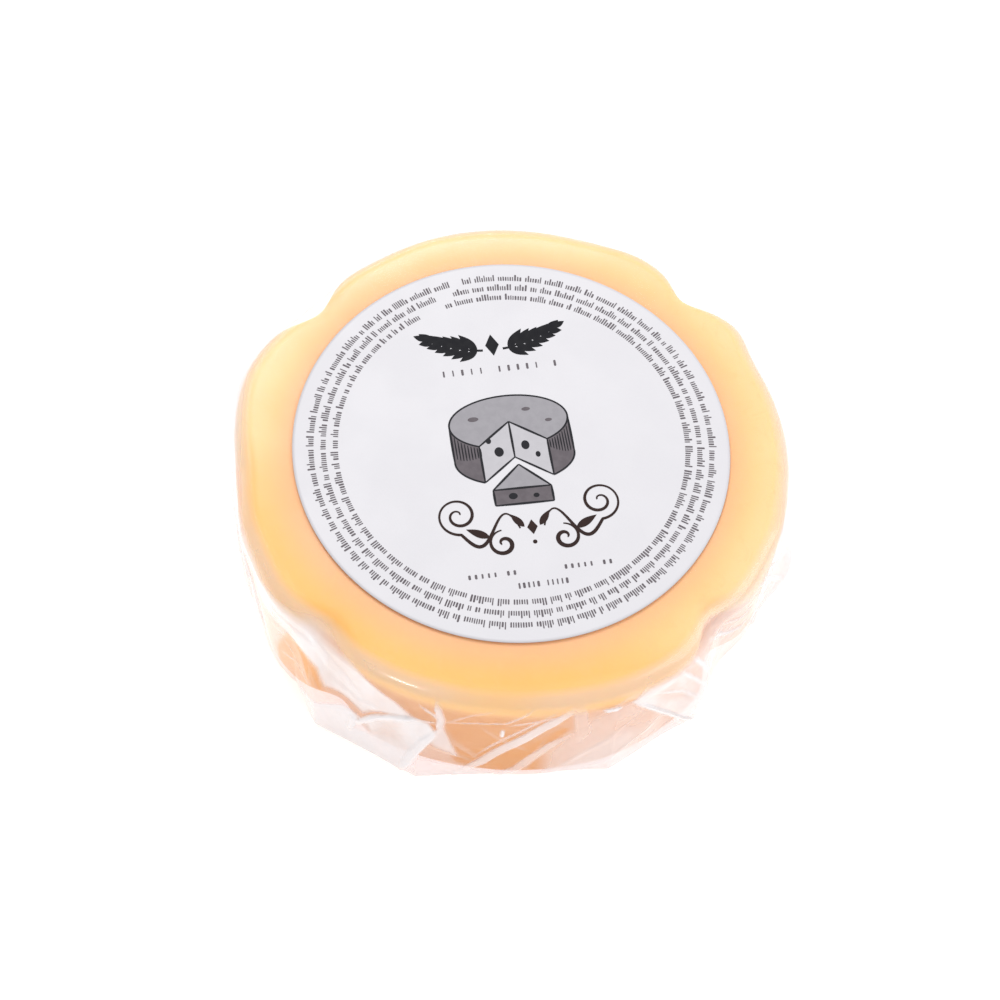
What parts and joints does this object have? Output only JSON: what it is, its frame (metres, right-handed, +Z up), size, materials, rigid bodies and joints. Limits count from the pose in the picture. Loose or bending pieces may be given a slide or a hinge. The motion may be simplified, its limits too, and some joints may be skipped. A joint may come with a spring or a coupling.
{
  "type": "film-wrapped provolone round",
  "caption": "Small round of provolone cheese in clear film, with a round paper label on its flat top.",
  "frame": {"origin": "middle of the pack's footprint box, on the surface it rests on", "axes": "+Z up out of the labelled face, -Y towards the viewer, +X to the right of the label"},
  "size_m": [0.1074, 0.1048, 0.0316],
  "materials": {
    "wrapped_cheese": "pale yellow cheese seen through clear glossy film",
    "label": "smooth cool white paper with small grey print"
  },
  "bodies": {
    "root": {"wrapped_cheese": "wrapped_cheese", "label": "label"}
  },
  "joints": []
}
